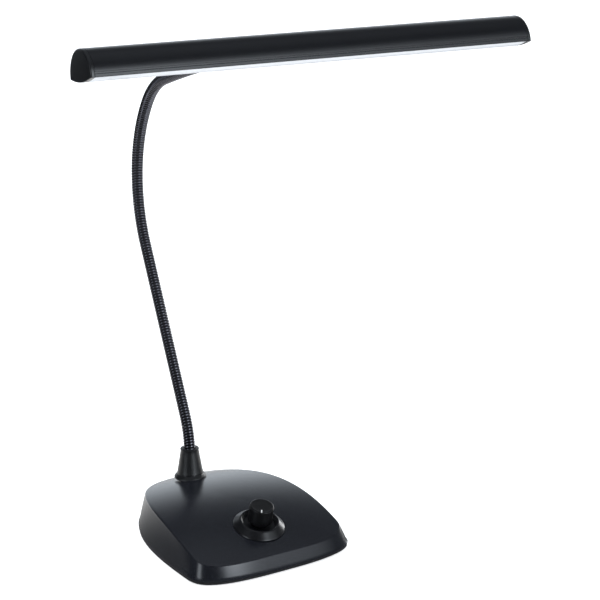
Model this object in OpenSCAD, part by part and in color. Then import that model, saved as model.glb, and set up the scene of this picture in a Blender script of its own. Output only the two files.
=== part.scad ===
// Piano lamp: weighted base with a rotary dimmer, a gooseneck and a long half-round head.
// The origin is the centre of the base's underside, +Z is up and -Y is the front.

/* [Base] */
// Width of the base across its widest line
base_w = 146; // [130:1:170]
// Depth of the base, front to back
base_d = 172; // [155:1:190]
// Distance of the widest line from the front edge
widest_from_front = 29.4; // [24:0.2:40]
// Roundness exponent of the front outline
front_round = 2.85; // [2.4:0.05:3.6]
// Roundness exponent of the back outline
back_round = 2.6; // [2.3:0.05:3.2]
// How far the top edge lies inside the bottom outline
skirt_inset = 6; // [4:0.5:9]
// Height of the top surface on the widest line
top_h = 23.2; // [20:0.2:28]
// Rise of the top surface towards the back, per mm
top_rise = 0.325; // [0.26:0.005:0.36]
// Crown of the top surface along the depth, per mm squared
top_crown = 0.00216; // [0.0016:0.00004:0.0024]
// Crown of the top surface across the width, per mm squared
side_crown = 0.00076; // [0:0.00004:0.0012]
// Wall of the moulded base cover
cover_wall = 3; // [2:0.1:3.4]
// Thickness of the foot pad
pad_t = 1.5; // [1:0.1:2.5]
// Thickness of the bottom plate
plate_t = 1.5; // [1:0.1:2.5]
// Thickness of the ballast slab
ballast_t = 6; // [4:0.5:7]
// Head diameter of the base screws
base_screw_head = 6; // [5:0.1:7]
// Shank diameter of the base screws
base_screw_d = 3; // [2.5:0.1:3.5]

/* [Dimmer] */
// Distance of the knob's centre from the front edge
knob_from_front = 38.9; // [34:0.1:46]
// Diameter of the knob
knob_d = 20.2; // [16:0.2:22]
// Height of the knob's top over the base surface
knob_top = 19.4; // [16:0.2:22]
// Direction of the pointer at rest, in degrees left of the front
pointer_turn = 33; // [0:1:60]
// Width of the pointer line
pointer_w = 0.9; // [0.6:0.1:1.4]
// Length of the pointer line
pointer_len = 3.4; // [2:0.1:5]
// Outer diameter of the collar around the knob
collar_d = 41.8; // [38:0.2:46]
// Diameter of the collar's rim
rim_d = 31.5; // [28:0.1:34]
// Height of the collar's rim
collar_h = 5.3; // [4:0.1:7]
// Diameter of the dimmer's shaft
shaft_d = 6; // [5:0.1:7]
// Diameter of the dimmer's threaded bushing
bushing_d = 9; // [8.4:0.1:10]
// Diameter of the dimmer's body
dimmer_d = 17; // [15:0.5:18]

/* [Neck] */
// Diameter of the gooseneck over its ribs
neck_d = 10; // [9:0.1:10.4]
// Distance from one rib to the next
rib_pitch = 3.6; // [3.2:0.1:5]
// Depth of the groove between two ribs
rib_depth = 0.6; // [0.3:0.05:0.9]
// Diameter of the hole along the gooseneck
neck_bore = 7; // [6.6:0.1:7.4]
// Length of the straight root above the bottom end of the gooseneck
root_len = 29; // [26:0.5:34]
// Bend radius just above the boot
low_bend_r = 80; // [70:1:100]
// Turn just above the boot, in degrees
low_turn = 24.5; // [20:0.5:28]
// Length of the straight lower run
low_run = 147; // [130:1:170]
// Bend radius of the long upper bend
high_bend_r = 125; // [110:1:140]
// Turn of the long upper bend, in degrees
high_turn = 59.5; // [54:0.5:64]
// Bend radius of the tight bend before the top run
top_bend_r = 60; // [50:1:70]
// Turn of the tight bend, in degrees
top_turn = 37; // [34:0.5:40]
// Length of the top run
top_run = 175; // [162:1:188]
// Turn along the top run, in degrees
run_turn = 8.5; // [7:0.5:10]
// Gap between two stiff stretches of the gooseneck
bend_gap = 2.4; // [2.3:0.1:3.2]
// Height of the boot over its seat
boot_h = 26; // [22:0.5:30]
// Diameter of the boot's flange
boot_flange_d = 27; // [24:0.5:30]
// Diameter of the boot at its top
boot_top_d = 16; // [14.5:0.1:18]

/* [Head] */
// Length of the head, end caps included
head_len = 344; // [316:1:372]
// Width of the head's half-round profile
head_w = 38.4; // [37.2:0.2:40.4]
// Height of the straight sides under the half round
side_h = 0.6; // [0.4:0.1:1.2]
// Depth of the bowed underside
bow_h = 2.6; // [2:0.1:3.2]
// Wall of the extruded housing
head_wall = 1.6; // [1.2:0.1:2]
// Thickness of the end caps
cap_t = 3; // [2.5:0.1:4]
// Length of the stem between ferrule and housing
stem_len = 31; // [27:0.5:37]
// Diameter of the stem
stem_d = 7; // [6.6:0.1:7.4]
// Diameter of the upper ferrule
ferrule_d = 12.4; // [12.2:0.1:13]
// Turn of the head about the upright, which brings its right end forward
head_turn = 4.9; // [0:0.1:6]
// Number of light-emitting diodes
led_count = 24; // [12:1:30]

/* [Hidden] */
$fn = 64;
// Running and seating clearances
run_gap = 0.05;
fit_gap = 0.15;
soft_gap = 0.3;
// Count of points around the base outline
ring_n = 72;
// Sides of the gooseneck's rings
neck_sides = 8;

front_y = -base_d/2;
widest_y = front_y + widest_from_front;
plate_top = pad_t + plate_t;
ballast_top = plate_top + ballast_t;
knob_y = front_y + knob_from_front;
// The boot stands near the back edge, its seat just over the crowned top
boot_from_back = 22.8;
boot_y = base_d/2 - boot_from_back;
seat_z = top_z(0, boot_y) + 0.87;
ferrule_depth = 8;
root_z = seat_z - ferrule_depth;

// ---- shapes of the base ------------------------------------------------------------

// Signed power, for the rounded outline
function spow(c, e) = sign(c)*pow(abs(c), e);

// One point of the base outline, drawn in by inset; t is in degrees
function outline_pt(t, inset) =
  let (front = sin(t) < 0,
       n = front ? front_round : back_round,
       half_d = front ? widest_from_front : base_d - widest_from_front)
  [(base_w/2 - inset)*spow(cos(t), 2/n),
   widest_y + (half_d - inset)*spow(sin(t), 2/n)];

function outline(inset, n = ring_n) = [for (i = [0:n-1]) outline_pt(360*i/n, inset)];

// Height of the top surface over the floor
function top_z(x, y) =
  let (v = y - widest_y)
  top_h + top_rise*v - top_crown*v*v - side_crown*x*x;

// Slope of the top surface at the knob, in degrees
knob_tilt = atan(top_rise - 2*top_crown*(knob_y - widest_y));
knob_z = top_z(0, knob_y);

// Places a shape on the base surface at the knob, with Z along the surface's normal
module at_knob() translate([0, knob_y, knob_z]) rotate([knob_tilt, 0, 0]) children();

// Faces between two rings of n points that start at a and b; flip turns them over
function band(a, b, n, flip = false) = [
  for (i = [0:n-1]) let (j = (i + 1) % n)
    each (flip ? [[a+i, b+i, b+j], [a+i, b+j, a+j]] : [[a+i, b+j, b+i], [a+i, a+j, b+j]])
];

// Closed dome from the base outline at z = low up to the top surface lowered by drop
skirt_steps = [0, 0.35, 0.7, 1];
skirt_insets = [0, 0.12, 0.48, 1];
top_shares = [0.975, 0.9, 0.76, 0.58, 0.36, 0.14];
module dome(inset, drop, low) {
  rim = outline(inset + skirt_inset);
  foot = outline(inset);
  skirt = [for (k = [0:3]) for (i = [0:ring_n-1])
    let (a = skirt_insets[k], top = top_z(rim[i][0], rim[i][1]) - drop)
    [foot[i][0]*(1-a) + rim[i][0]*a, foot[i][1]*(1-a) + rim[i][1]*a,
     low + (top - low)*skirt_steps[k]]];
  lid = [for (s = top_shares) for (i = [0:ring_n-1])
    let (x = rim[i][0]*s, y = rim[i][1]*s) [x, y, top_z(x, y) - drop]];
  pts = concat(skirt, lid, [[0, 0, top_z(0, 0) - drop], [0, 0, low]]);
  rings = len(skirt_steps) + len(top_shares);
  last = (rings-1)*ring_n;
  top_pt = rings*ring_n;
  faces = concat(
    [for (k = [0:rings-2]) each band(k*ring_n, (k+1)*ring_n, ring_n)],
    [for (i = [0:ring_n-1]) [last+i, last + (i+1)%ring_n, top_pt]],
    [for (i = [0:ring_n-1]) [(i+1)%ring_n, i, top_pt+1]]);
  polyhedron(pts, [for (f = faces) [f[0], f[2], f[1]]]);
}

// Places of the base screws
screw_spots = [for (x = [-1, 1]) each
  [[x*(base_w/2 - 25), front_y + 26], [x*(base_w/2 - 33), base_d/2 - 44]]];
// Places of the screws that hold the ballast
ballast_spots = [[-30, -6], [30, -6]];
boss_d = 8;
neck_hole_d = 12.4;
jack_z = 13;
jack_y = base_d/2;
jack_flange_d = 11;
jack_barrel_d = 8;
jack_flange_t = 1.5;
jack_seat_y = jack_y - 5;
jack_room = 15.6;
jack_pad_in = 13;

module base_cover() color("#1d1e22") difference() {
  union() {
    difference() {
      dome(0, 0, plate_top);
      translate([0, 0, -0.01]) dome(cover_wall, cover_wall, plate_top);
    }
    // Seat under the boot
    translate([0, boot_y, seat_z - 5]) cylinder(h = 5, d = boot_flange_d + 1);
    // Screw bosses, cut off under the top surface
    intersection() {
      for (p = screw_spots) translate([p[0], p[1], plate_top]) cylinder(h = 40, d = boss_d);
      dome(cover_wall/2, cover_wall/2, plate_top);
    }
    // Pad behind the power jack
    intersection() {
      translate([0, jack_y - jack_pad_in, jack_z]) rotate([-90, 0, 0]) cylinder(h = jack_pad_in - 1, d = 15);
      dome(cover_wall/2, cover_wall/2, plate_top);
    }
  }
  // Seat of the knob collar and the hole of the bushing
  at_knob() translate([0, 0, -1]) cylinder(h = 12, d = collar_d + 2*fit_gap);
  at_knob() translate([0, 0, -12]) cylinder(h = 14, d = bushing_d + 2*fit_gap);
  // Flat seat of the boot and the hole of the neck's ferrule
  translate([0, boot_y, seat_z]) cylinder(h = 10, d = boot_flange_d + 2*fit_gap);
  translate([0, boot_y, root_z - 12]) cylinder(h = 24, d = neck_hole_d + 2*fit_gap);
  translate([0, boot_y, seat_under - 9]) cylinder(h = 9, d = washer_d + 4*fit_gap);
  // Screw holes
  for (p = screw_spots)
    translate([p[0], p[1], plate_top - 1]) cylinder(h = 9, d = base_screw_d + 2*run_gap);
  // Hole and flat seat of the power jack
  translate([0, jack_y - 20, jack_z]) rotate([-90, 0, 0])
    cylinder(h = 24, d = jack_barrel_d + 2*fit_gap);
  translate([0, jack_seat_y, jack_z]) rotate([-90, 0, 0])
    cylinder(h = 12, d = jack_flange_d + 2*fit_gap);
  translate([0, jack_y - 9 - jack_pad_in, jack_z]) rotate([-90, 0, 0])
    cylinder(h = jack_pad_in, d = jack_room);
}

module base_plate() color("#3a3b3f") difference() {
  translate([0, 0, pad_t]) linear_extrude(plate_t) polygon(outline(0.6));
  for (p = screw_spots) translate([p[0], p[1], 0]) cylinder(h = 9, d = base_screw_d + 2*run_gap);
  for (p = ballast_spots) translate([p[0], p[1], 0]) cylinder(h = 9, d = base_screw_d + 2*run_gap);
}

module foot_pad() color("#5b5c60") difference() {
  linear_extrude(pad_t) polygon(outline(3));
  for (p = concat(screw_spots, ballast_spots))
    translate([p[0], p[1], -1]) cylinder(h = 9, d = base_screw_head + 2);
}

// A pan-head screw with its head below z = 0 and a cross recess
module pan_screw(d, head_d, head_h, len) {
  difference() {
    union() {
      translate([0, 0, -head_h]) cylinder(h = head_h, d = head_d);
      cylinder(h = len, d = d);
    }
    for (a = [0, 90]) rotate([0, 0, a])
      translate([-head_d*0.32, -0.4, -head_h - 0.1]) cube([head_d*0.64, 0.8, head_h*0.6]);
  }
}

module base_screws() color("#8a8b90")
  for (p = screw_spots) translate([p[0], p[1], pad_t])
    pan_screw(base_screw_d, base_screw_head, 1.2, 8);

module ballast_slab() color("#6d6e72") difference() {
  translate([0, 0, plate_top]) linear_extrude(ballast_t) polygon(outline(14));
  for (p = screw_spots) translate([p[0], p[1], 0]) cylinder(h = 20, d = boss_d + 2);
  for (p = ballast_spots) translate([p[0], p[1], 0]) cylinder(h = 20, d = base_screw_d + 2*run_gap);
  // Room for the lead and the neck's root
  translate([0, boot_y, 0]) cylinder(h = 20, d = 22);
  translate([-12, boot_y, 0]) cube([24, 40, 20]);
}

module ballast_screws() color("#8a8b90")
  for (p = ballast_spots) translate([p[0], p[1], pad_t])
    pan_screw(base_screw_d, base_screw_head, 1.2, 6);

// ---- dimmer ------------------------------------------------------------------------

collar_floor = 1;
module knob_collar() color("#1a1a1d") at_knob() rotate_extrude(convexity = 6)
  polygon([
    [bushing_d/2 + fit_gap, -1], [collar_d/2, -1], [collar_d/2, 0.4],
    [rim_d/2 + 0.6, collar_h], [rim_d/2 - 1, collar_h],
    [rim_d/2 - 2.4, collar_h - 1.6], [rim_d/2 - 3, collar_floor],
    [bushing_d/2 + fit_gap, collar_floor]
  ]);

// The body hangs under the cover's top wall, its bushing comes up through the collar
bushing_top = 4.4;
body_top = -cover_wall - 0.6;
module dimmer_body() color("#b9bcc2") at_knob() difference() {
  union() {
    translate([0, 0, body_top - 8]) cylinder(h = 8, d = dimmer_d);
    cylinder(h = bushing_top, d = bushing_d);
    translate([0, 0, body_top - 0.01]) cylinder(h = -body_top + 0.1, d = bushing_d);
    // Solder tags
    for (x = [-5, 0, 5]) translate([x - 0.8, dimmer_d/2 - 3, body_top - 7]) cube([1.6, 7, 0.8]);
  }
  translate([0, 0, body_top - 6]) cylinder(h = 30, d = shaft_d + 2*run_gap);
}

module dimmer_nut() color("#c4c6ca") at_knob() translate([0, 0, collar_floor]) difference() {
  cylinder(h = 2, d = 13, $fn = 6);
  translate([0, 0, -1]) cylinder(h = 4, d = bushing_d + 2*run_gap);
}

shaft_top = 15;
flat_depth = 1.2;
// Places a turning piece of the dimmer, with -Y along the pointer
module at_dial() at_knob() rotate([0, 0, -pointer_turn]) children();

module dimmer_shaft() color("#d0d1d4") at_dial() difference() {
  translate([0, 0, body_top - 5.7]) cylinder(h = shaft_top - body_top + 5.7, d = shaft_d);
  // Flat of the shaft
  translate([shaft_d/2 - flat_depth, -5, knob_skirt + 2]) cube([5, 10, 20]);
}

knob_skirt = 5.2;
module knob_body() rotate_extrude(convexity = 6) polygon([
  [0, knob_skirt], [knob_d/2 - 0.4, knob_skirt], [knob_d/2, knob_skirt + 0.4],
  [knob_d/2 - 0.3, knob_top - 0.9], [knob_d/2 - 0.6, knob_top - 0.25],
  [knob_d/2 - 1.3, knob_top], [0, knob_top]
]);
module pointer_slot()
  translate([-pointer_w/2, -knob_d/2 - 1, knob_top - 0.6]) cube([pointer_w, pointer_len + 1, 2]);

module knob() color("#17171a") at_dial() difference() {
  knob_body();
  // Bore with a flat for the shaft
  difference() {
    translate([0, 0, 4]) cylinder(h = shaft_top - 4 + 0.3, d = shaft_d + 2*run_gap);
    translate([shaft_d/2 - flat_depth + run_gap, -5, knob_skirt + 2.2]) cube([5, 10, 20]);
  }
  // Hollow underside around the hub
  translate([0, 0, 4]) difference() {
    cylinder(h = 9, d = knob_d - 4);
    cylinder(h = 9, d = shaft_d + 4.4);
  }
  pointer_slot();
}

module knob_pointer() color("#e8e8e8") at_dial() intersection() {
  knob_body();
  pointer_slot();
}

// ---- driver board and power jack -------------------------------------------------------

board_w = 56;
board_l = 34;
board_t = 1.6;
board_y = boot_y - 41.2;
board_z = ballast_top + 5;
post_spots = [for (x = [-1, 1]) for (y = [-1, 1]) [x*(board_w/2 - 4), board_y + y*(board_l/2 - 4)]];

module driver_board() color("#1d5a37") difference() {
  translate([-board_w/2, board_y - board_l/2, board_z]) cube([board_w, board_l, board_t]);
  for (p = post_spots) translate([p[0], p[1], board_z - 1]) cylinder(h = 5, d = 2.5 + 2*fit_gap);
}

module driver_parts() color("#2b2b2e") translate([0, board_y, board_z + board_t]) {
  translate([-14, 0, 0]) cylinder(h = 8, d = 8);
  translate([-2, -6, 0]) cube([10, 10, 5]);
  translate([11, 3, 0]) cylinder(h = 7, d = 6.3);
  translate([-18, -13, 0]) cube([6, 5, 1.6]);
  translate([0, 7, 0]) cube([5, 4, 1.5]);
  translate([11, -13, 0]) cube([8, 6, 6]);
}

module board_posts() color("#b89b4f") for (p = post_spots)
  translate([p[0], p[1], ballast_top]) difference() {
    cylinder(h = board_z - ballast_top, d = 5, $fn = 6);
    translate([0, 0, 1.5]) cylinder(h = 9, d = 2.5 + 2*run_gap);
  }

module board_screws() color("#8a8b90") for (p = post_spots)
  translate([p[0], p[1], board_z + board_t]) rotate([180, 0, 0]) pan_screw(2.5, 4.6, 1.4, 4.5);

jack_bore_d = 5.6;
module power_jack() color("#202024") translate([0, jack_seat_y, jack_z]) rotate([-90, 0, 0]) difference() {
  union() {
    cylinder(h = jack_flange_t, d = jack_flange_d);
    translate([0, 0, -14]) cylinder(h = 14.01, d = jack_barrel_d);
  }
  translate([0, 0, -9]) cylinder(h = 20, d = jack_bore_d);
}

module jack_pin() color("#c9cacd") translate([0, jack_seat_y, jack_z]) rotate([-90, 0, 0])
  translate([0, 0, -9]) union() {
    cylinder(h = 9, d = 2);
    translate([0, 0, 0]) cylinder(h = 0.8, d = jack_bore_d - 2*run_gap);
  }

module jack_nut() color("#b9bcc2") translate([0, jack_y - 11.2, jack_z]) rotate([-90, 0, 0]) difference() {
  cylinder(h = 2.2, d = 12, $fn = 6);
  translate([0, 0, -1]) cylinder(h = 6, d = jack_barrel_d + 2*run_gap);
}

// ---- route of the gooseneck ------------------------------------------------------------

// The route lies in the plane X = 0. Each piece is [length, turn]; a positive turn leans it back.
function arc_len(r, turn) = r*turn*PI/180;
end_run = 20;
route = [
  [root_len, 0], [arc_len(low_bend_r, low_turn), low_turn], [low_run, 0],
  [arc_len(high_bend_r, high_turn), -high_turn], [arc_len(top_bend_r, top_turn), -top_turn],
  [top_run, -run_turn], [end_run, 0]
];

// State [y, z, lean] after going a distance d along one piece from a state
function along(st, piece, d) =
  let (h0 = st[2], h1 = h0 + piece[1]*d/piece[0], rad = (h1 - h0)*PI/180)
  abs(rad) < 0.00001
    ? [st[0] + d*sin(h0), st[1] + d*cos(h0), h0]
    : [st[0] + d/rad*(cos(h0) - cos(h1)), st[1] + d/rad*(sin(h1) - sin(h0)), h1];

// State at the distance s from the neck's bottom end
function at_s(s, i = 0, st = [boot_y, root_z, 0]) =
  s <= route[i][0] || i == len(route) - 1
    ? along(st, route[i], s)
    : at_s(s - route[i][0], i + 1, along(st, route[i], route[i][0]));

// Distance from the bottom end to the end of route piece k
function route_end(k) = k < 0 ? 0 : route[k][0] + route_end(k - 1);

// Distances at which the gooseneck is bent by hand
bend_s = [
  root_len + 12,
  route_end(1) + 0.4*low_run,
  route_end(2) + 0.42*route[3][0],
  route_end(3) + 0.5*route[4][0],
  route_end(4) + 0.37*top_run,
  route_end(4) + 0.82*top_run
];
neck_end = route_end(5);
tip = at_s(neck_end);
head_tilt = 90 + tip[2];

// All that lies beyond the last bend is turned about the upright through it
swing_y = at_s(bend_s[5])[0];
function swing(p) = [
  p[0]*cos(head_turn) + (p[1] - swing_y)*sin(head_turn),
  swing_y - p[0]*sin(head_turn) + (p[1] - swing_y)*cos(head_turn),
  p[2]
];
module swung() translate([0, swing_y, 0]) rotate([0, 0, -head_turn]) translate([0, -swing_y, 0]) children();

// Places a shape at the neck's upper end, with Z along the neck
module at_tip() swung() translate([0, tip[0], tip[1]]) rotate([-tip[2], 0, 0]) children();

// One ring of n points of radius r around a state of the route
function ring(st, r, n) = [for (i = [0:n-1])
  let (a = 360*(i + 0.5)/n, u = r*cos(a), v = r*sin(a),
    p = [u, st[0] + v*cos(st[2]), st[1] - v*sin(st[2])])
  st[0] < swing_y ? swing(p) : p];

// Tube through lists of outer and inner states with their radii, open along its bore
module tube(outer, inner, n) {
  pts = concat([for (o = outer) each ring(o[0], o[1], n)], [for (o = inner) each ring(o[0], o[1], n)]);
  a = len(outer);
  b = len(inner);
  first_in = a*n;
  faces = concat(
    [for (k = [0:a-2]) each band(k*n, (k+1)*n, n)],
    [for (k = [0:b-2]) each band(first_in + k*n, first_in + (k+1)*n, n, true)],
    band(0, first_in, n, true),
    band((a-1)*n, first_in + (b-1)*n, n));
  polyhedron(pts, faces);
}

// Distances from s0 to s1 by way of the route's common stations, which keep nested tubes apart
station = 10;
function stations(s0, s1) = concat([s0],
  [for (k = [1:ceil(s1/station)]) if (k*station > s0 + 1 && k*station < s1 - 1) k*station], [s1]);

// Ribbed stretch of hose between two distances, with plain square ends
module hose(s0, s1) {
  plain = 1.2;
  ribs = max(2, round((s1 - s0 - 2*plain)/rib_pitch));
  step = (s1 - s0 - 2*plain)/ribs;
  outer = concat(
    [[at_s(s0), neck_d/2]],
    [for (k = [0:2*ribs]) [at_s(s0 + plain + k*step/2), neck_d/2 - (k % 2 == 1 ? rib_depth : 0)]],
    [[at_s(s1), neck_d/2]]);
  inner = [for (s = stations(s0, s1)) [at_s(s), neck_bore/2]];
  tube(outer, inner, neck_sides);
}

// Stretch number k, counted from 0 at the base
module neck_section(k) color("#222226")
  hose(k == 0 ? 0.2 : bend_s[k-1] + bend_gap/2, k == len(bend_s) ? neck_end - 0.5 : bend_s[k] - bend_gap/2);
module neck_section_1() neck_section(0);
module neck_section_2() neck_section(1);
module neck_section_3() neck_section(2);
module neck_section_4() neck_section(3);
module neck_section_5() neck_section(4);
module neck_section_6() neck_section(5);
module neck_section_7() neck_section(6);

// Inner coil that the ribbed wire is wound on
core_d = neck_bore - 2*soft_gap;
core_bore = core_d - 1.8;
module neck_core() color("#77787c") {
  states = [for (s = stations(0.5, neck_end - 0.7)) at_s(s)];
  tube([for (s = states) [s, core_d/2]], [for (s = states) [s, core_bore/2]], neck_sides);
}

// Lead from the driver board through the neck to the head, in the plane X = 0
lead_d = core_bore - 2*soft_gap;
board_top = board_z + board_t;
lead_low = [
  [boot_y - 25.7, board_top + 2.6], [boot_y - 21.2, board_top + 2.5], [boot_y - 16.2, board_top + 1],
  [boot_y - 11.2, root_z - 9.8], [boot_y - 6.7, root_z - 11.9], [boot_y - 2.8, root_z - 12],
  [boot_y - 0.6, root_z - 9.8], [boot_y, root_z - 6.5]
];
// Inside the head each point is [distance from the middle, share of the way down to the strip]
lead_high = [[13, 0], [8, 0.09], [4.5, 0.34], [3, 0.7], [2.6, 1]];
function head_pt(v, w) = [
  head_c[0] + v*cos(head_tilt) + w*sin(head_tilt),
  head_c[1] - v*sin(head_tilt) + w*cos(head_tilt)
];
module lead() color("#1b1b1e") {
  mid = [for (s = stations(0, neck_end + end_run)) let (st = at_s(s)) [st[0], st[1]]];
  stem = [for (k = [1:3]) let (st = at_s(neck_end + end_run + 7*k)) [st[0], st[1]]];
  high = [for (p = lead_high) head_pt(p[0], stem_rise - p[1]*(stem_rise - strip_top - 0.5))];
  pts = concat(lead_low, mid, stem, high);
  last = len(pts) - 1;
  states = [for (i = [0:last])
    let (d = pts[min(i+1, last)] - pts[max(i-1, 0)]) [pts[i][0], pts[i][1], atan2(d[0], d[1])]];
  ring_pts = [for (s = states) each ring(s, lead_d/2, neck_sides)];
  polyhedron(
    concat(ring_pts, [[0, pts[0][0], pts[0][1]], swing([0, pts[last][0], pts[last][1]])]),
    concat(
      [for (k = [0:last-1]) each band(k*neck_sides, (k+1)*neck_sides, neck_sides)],
      [for (i = [0:neck_sides-1])
        each [[(i+1) % neck_sides, i, (last+1)*neck_sides],
              [last*neck_sides + i, last*neck_sides + (i+1) % neck_sides, (last+1)*neck_sides + 1]]]));
}

// ---- boot and lower ferrule --------------------------------------------------------------

module at_boot() translate([0, boot_y, seat_z]) children();
shoulder_d = 17;
shoulder_h = 2;

module neck_boot() color("#1e1e21") at_boot() rotate_extrude(convexity = 6) polygon([
  [neck_d/2 + soft_gap, boot_h], [boot_top_d/2 - 1.4, boot_h], [boot_top_d/2 - 0.4, boot_h - 0.4],
  [boot_top_d/2, boot_h - 1.2], [boot_top_d/2 + 1.2, boot_h*0.72], [boot_top_d/2 + 2.6, boot_h*0.36],
  [boot_top_d/2 + 3.2, boot_h*0.17], [boot_flange_d/2 - 1.6, boot_h*0.12],
  [boot_flange_d/2, 1.2], [boot_flange_d/2, 0],
  [shoulder_d/2 + fit_gap, 0], [shoulder_d/2 + fit_gap, shoulder_h + 0.3],
  [boot_top_d/2 - 0.8, boot_h*0.5], [neck_d/2 + soft_gap, boot_h - 4]
]);

ferrule_low = 7;
washer_t = 1.5;
washer_d = 22;
neck_nut_h = 4;
seat_under = seat_z - 5;
module lower_ferrule() color("#8d8f94") difference() {
  union() {
    translate([0, boot_y, root_z - ferrule_low]) cylinder(h = seat_z - root_z + ferrule_low, d = neck_hole_d);
    at_boot() cylinder(h = shoulder_h, d = shoulder_d);
  }
  translate([0, boot_y, root_z]) cylinder(h = 20, d = neck_d + 2*fit_gap);
  translate([0, boot_y, root_z - 20]) cylinder(h = 24, d = neck_bore + 0.4);
}

module neck_washer() color("#a5a7ab") translate([0, boot_y, seat_under - washer_t]) difference() {
  cylinder(h = washer_t, d = washer_d);
  translate([0, 0, -1]) cylinder(h = 5, d = neck_hole_d + 2*fit_gap);
}

module neck_nut() color("#a5a7ab") translate([0, boot_y, seat_under - washer_t - neck_nut_h]) difference() {
  cylinder(h = neck_nut_h, d = 19.6, $fn = 6);
  translate([0, 0, -1]) cylinder(h = 8, d = neck_hole_d + 2*run_gap);
}

// ---- head --------------------------------------------------------------------------------

head_r = head_w/2;
inner_r = head_r - head_wall;
ferrule_len = 20;
// Height of the stem over the middle of the profile
stem_rise = head_r - 11.6;
// Distance from the neck's end to the middle of the profile, along the stem
wall_v = sqrt(head_r*head_r - stem_rise*stem_rise);
head_reach = ferrule_len/2 + stem_len + wall_v;
head_c = [
  tip[0] - head_reach*cos(head_tilt) - stem_rise*sin(head_tilt),
  tip[1] + head_reach*sin(head_tilt) - stem_rise*cos(head_tilt)
];
body_len = head_len - 2*cap_t;

// Places a shape in the head: X along it, Y to its back, Z up through the half round
module at_head() swung() translate([0, head_c[0], head_c[1]]) rotate([-head_tilt, 0, 0]) children();
// Extrudes a profile drawn as [back, up] along the head
module along_head(len) rotate([90, 0, 90]) translate([0, 0, -len/2]) linear_extrude(len) children();
// Half disc of radius r over straight sides that go down by low
module arch(r, low) {
  difference() {
    circle(r = r);
    translate([-2*r, -2*r]) square([4*r, 2*r]);
  }
  translate([-r, -low]) square([2*r, low]);
}
// Places a shape on the stem's axis, with Z towards the back
module at_stem() at_head() translate([0, 0, stem_rise]) rotate([-90, 0, 0]) children();

module upper_ferrule() color("#232327") at_tip() difference() {
  translate([0, 0, -ferrule_len/2]) union() {
    translate([0, 0, 0.6]) cylinder(h = ferrule_len - 1.2, d = ferrule_d);
    cylinder(h = ferrule_len, d = ferrule_d - 1);
  }
  translate([0, 0, -ferrule_len/2 - 1]) cylinder(h = ferrule_len/2 + 1, d = neck_d + 2*fit_gap);
  translate([0, 0, 1.6]) cylinder(h = ferrule_len, d = stem_d + 2*run_gap);
  translate([0, 0, -5]) cylinder(h = ferrule_len, d = core_bore);
}

// Face inside the housing that the stem's nut is drawn up to
bracket_face = inner_r - 5.8;
stem_nut_d = 11.4;
stem_nut_h = 3;
stem_in = wall_v - bracket_face + stem_nut_h + 0.2;
stem_collar_d = 13;
module head_stem() color("#1e1e21") difference() {
  at_stem() union() {
    translate([0, 0, wall_v - stem_in]) cylinder(h = stem_in + stem_len + ferrule_len/2 - 1.8, d = stem_d);
    translate([0, 0, wall_v - 6]) cylinder(h = 9, d = stem_collar_d);
  }
  // Seat of the collar on the outside of the housing
  difference() {
    at_head() along_head(2*stem_collar_d) arch(head_r + run_gap, side_h);
    at_stem() translate([0, 0, -10]) cylinder(h = 60, d = stem_d);
  }
  at_stem() translate([0, 0, -10]) cylinder(h = 90, d = core_bore);
}

module stem_nut() color("#a5a7ab") at_stem() translate([0, 0, bracket_face - stem_nut_h]) difference() {
  cylinder(h = stem_nut_h, d = stem_nut_d, $fn = 6);
  translate([0, 0, -1]) cylinder(h = 8, d = stem_d + 2*run_gap);
}

bracket_l = 40;
bracket_x = 14;
// Underside and top of the ledges that the carrier hangs from
ledge_low = 4.2 - side_h;
ledge_top = ledge_low + 1;
// The bracket's screws point at the middle of the profile
screw_lean = 27;
module at_screws() at_head() rotate([screw_lean - 90, 0, 0])
  for (x = [-bracket_x, bracket_x]) translate([x, 0, 0]) children();
module head_bracket() color("#6f7175") difference() {
  at_head() intersection() {
    along_head(bracket_l) circle(r = inner_r - fit_gap);
    translate([-bracket_l/2, bracket_face, ledge_top + 0.4]) cube([bracket_l, 20, 13]);
  }
  at_stem() translate([0, 0, -10]) cylinder(h = 60, d = stem_d + 2*fit_gap);
  at_screws() cylinder(h = 60, d = 2.6);
}

screw_sink = 1.2;
module bracket_screws() color("#3a3a3e") at_screws()
  translate([0, 0, head_r - screw_sink]) rotate([180, 0, 0]) pan_screw(2.5, 4.6, 1.2, 4.6);

ledge_v = 2;
lip_v = 1;
module housing_profile() difference() {
  arch(head_r, side_h);
  difference() {
    arch(inner_r, side_h + 1);
    for (m = [0, 1]) mirror([m, 0]) {
      // Ledge over the carrier and lip under the diffuser
      translate([inner_r - ledge_v, ledge_low]) square([ledge_v + 1, ledge_top - ledge_low]);
      translate([inner_r - lip_v, -side_h]) square([lip_v + 1, 1.1]);
    }
  }
  // Fine groove along both lower edges
  for (m = [0, 1]) mirror([m, 0]) translate([head_r - 0.8, 2.5 - side_h]) square([1, 1]);
}

module head_housing() color("#1c1c20") difference() {
  at_head() along_head(body_len) housing_profile();
  at_stem() cylinder(h = 60, d = stem_d + 2*fit_gap);
  at_screws() cylinder(h = 60, d = 2.8);
  at_screws() translate([0, 0, head_r - screw_sink]) cylinder(h = 20, d = 4.9);
}

// Bowed underside between two corners, as points from right to left
bow_half = inner_r - lip_v - 0.2;
function bow(half, depth, base, n = 16) = [for (i = [0:n])
  let (v = half*cos(180*i/n)) [v, base - depth*(1 - pow(v/half, 2))]];

module cap_profile() {
  arch(head_r, side_h);
  polygon(bow(head_r, bow_h, -side_h));
}

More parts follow.
